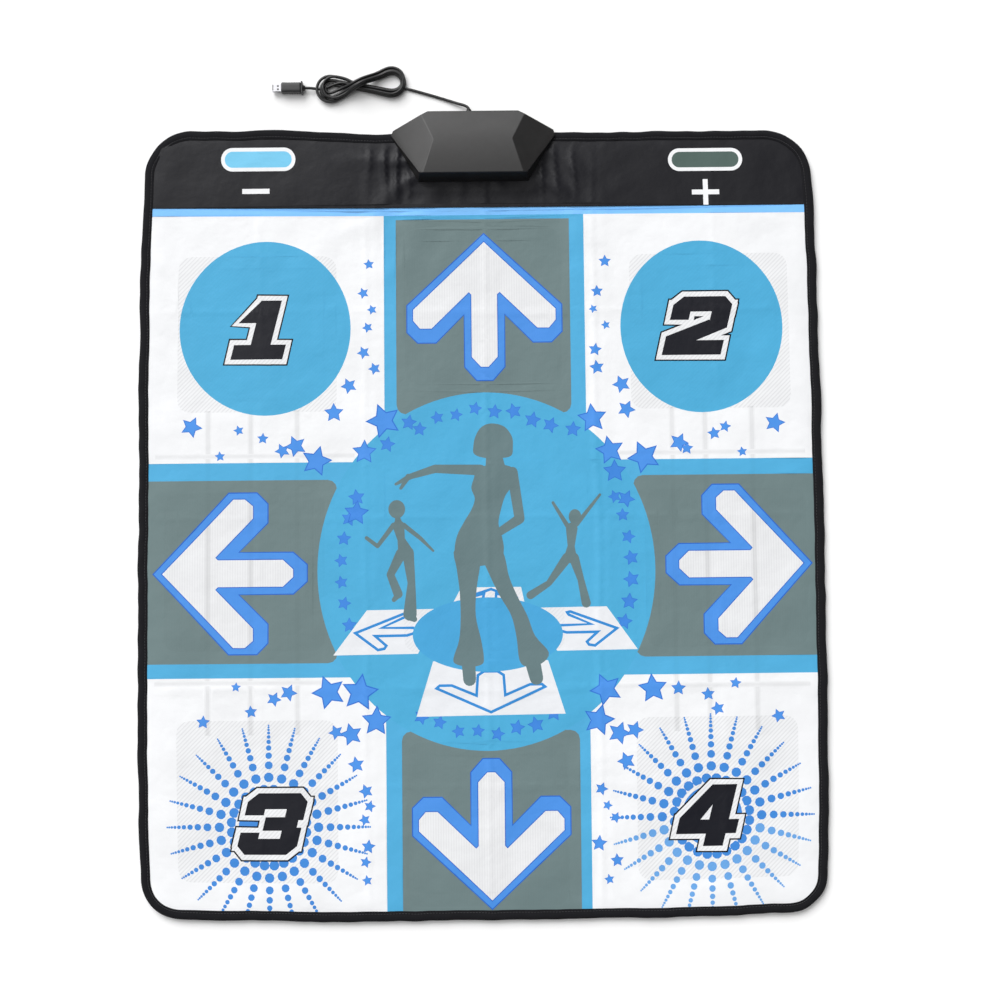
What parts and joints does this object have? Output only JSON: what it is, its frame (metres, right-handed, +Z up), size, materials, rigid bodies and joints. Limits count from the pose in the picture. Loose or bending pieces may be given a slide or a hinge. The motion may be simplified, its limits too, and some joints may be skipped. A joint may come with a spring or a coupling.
{
  "type": "dance mat controller",
  "caption": "Soft folding dance mat with a ring of arrow and corner step pads, small buttons, a faceted control box and a corded plug.",
  "frame": {"origin": "on the floor, in the middle of the mat and its control box together", "axes": "+Z up, +Y along the mat's length towards the control box, +X to the right when the box is at the far side"},
  "size_m": [0.806, 1.021, 0.034],
  "materials": {
    "cover_cloth": "matte",
    "binding_tape": "matte",
    "backing": "matte",
    "foam": "matte",
    "film": "gloss",
    "contact_ink": "matte",
    "box_plastic": "satin",
    "screw_steel": "satin",
    "board": "satin",
    "chip_resin": "gloss",
    "capacitor_sleeve": "gloss",
    "resonator_coat": "gloss",
    "connector_plastic": "satin",
    "cord_rubber": "satin",
    "plug_plastic": "satin",
    "plug_metal": "polished",
    "plug_white": "gloss",
    "pin_brass": "polished"
  },
  "bodies": {
    "mat": {"backing_cloth": "backing", "base_foam": "foam", "lower_film": "film", "lower_contacts": "contact_ink", "spacer_foam": "foam", "upper_film": "film", "top_cover": "cover_cloth", "edge_binding": "binding_tape", "film_tail": "film", "box_base": "box_plastic", "box_cover": "box_plastic", "case_screws": "screw_steel", "circuit_board": "board", "board_screws": "screw_steel", "controller_chip": "chip_resin", "capacitors": "capacitor_sleeve", "resonator": "resonator_coat", "tail_connector": "connector_plastic", "strain_relief": "cord_rubber", "cord_lead": "cord_rubber", "cord_hank": "cord_rubber", "cord_tail": "cord_rubber", "plug_housing": "plug_plastic", "plug_boot": "cord_rubber", "plug_shell": "plug_metal", "plug_insert": "plug_white", "plug_pins": "pin_brass"},
    "zone_up": {"pad_up": "cover_cloth", "contact_up": "contact_ink"},
    "zone_down": {"pad_down": "cover_cloth", "contact_down": "contact_ink"},
    "zone_left": {"pad_left": "cover_cloth", "contact_left": "contact_ink"},
    "zone_right": {"pad_right": "cover_cloth", "contact_right": "contact_ink"},
    "zone_rear_left": {"pad_rear_left": "cover_cloth", "contact_rear_left": "contact_ink"},
    "zone_rear_right": {"pad_rear_right": "cover_cloth", "contact_rear_right": "contact_ink"},
    "zone_front_left": {"pad_front_left": "cover_cloth", "contact_front_left": "contact_ink"},
    "zone_front_right": {"pad_front_right": "cover_cloth", "contact_front_right": "contact_ink"},
    "zone_minus": {"button_minus": "cover_cloth", "contact_minus": "contact_ink"},
    "zone_plus": {"button_plus": "cover_cloth", "contact_plus": "contact_ink"}
  },
  "joints": [
    {"name": "press_up", "type": "slide", "parent": "mat", "child": "zone_up", "axis": [0, 0, -1], "range_m": [0, 0.0019], "stiffness_N_per_m": 4000, "springref_m": -0.0008},
    {"name": "press_down", "type": "slide", "parent": "mat", "child": "zone_down", "axis": [0, 0, -1], "range_m": [0, 0.0019], "stiffness_N_per_m": 4000, "springref_m": -0.0008},
    {"name": "press_left", "type": "slide", "parent": "mat", "child": "zone_left", "axis": [0, 0, -1], "range_m": [0, 0.0019], "stiffness_N_per_m": 4000, "springref_m": -0.0008},
    {"name": "press_right", "type": "slide", "parent": "mat", "child": "zone_right", "axis": [0, 0, -1], "range_m": [0, 0.0019], "stiffness_N_per_m": 4000, "springref_m": -0.0008},
    {"name": "press_rear_left", "type": "slide", "parent": "mat", "child": "zone_rear_left", "axis": [0, 0, -1], "range_m": [0, 0.0019], "stiffness_N_per_m": 4000, "springref_m": -0.0008},
    {"name": "press_rear_right", "type": "slide", "parent": "mat", "child": "zone_rear_right", "axis": [0, 0, -1], "range_m": [0, 0.0019], "stiffness_N_per_m": 4000, "springref_m": -0.0008},
    {"name": "press_front_left", "type": "slide", "parent": "mat", "child": "zone_front_left", "axis": [0, 0, -1], "range_m": [0, 0.0019], "stiffness_N_per_m": 4000, "springref_m": -0.0008},
    {"name": "press_front_right", "type": "slide", "parent": "mat", "child": "zone_front_right", "axis": [0, 0, -1], "range_m": [0, 0.0019], "stiffness_N_per_m": 4000, "springref_m": -0.0008},
    {"name": "press_minus", "type": "slide", "parent": "mat", "child": "zone_minus", "axis": [0, 0, -1], "range_m": [0, 0.0019], "stiffness_N_per_m": 1500, "springref_m": -0.0008},
    {"name": "press_plus", "type": "slide", "parent": "mat", "child": "zone_plus", "axis": [0, 0, -1], "range_m": [0, 0.0019], "stiffness_N_per_m": 1500, "springref_m": -0.0008}
  ]
}
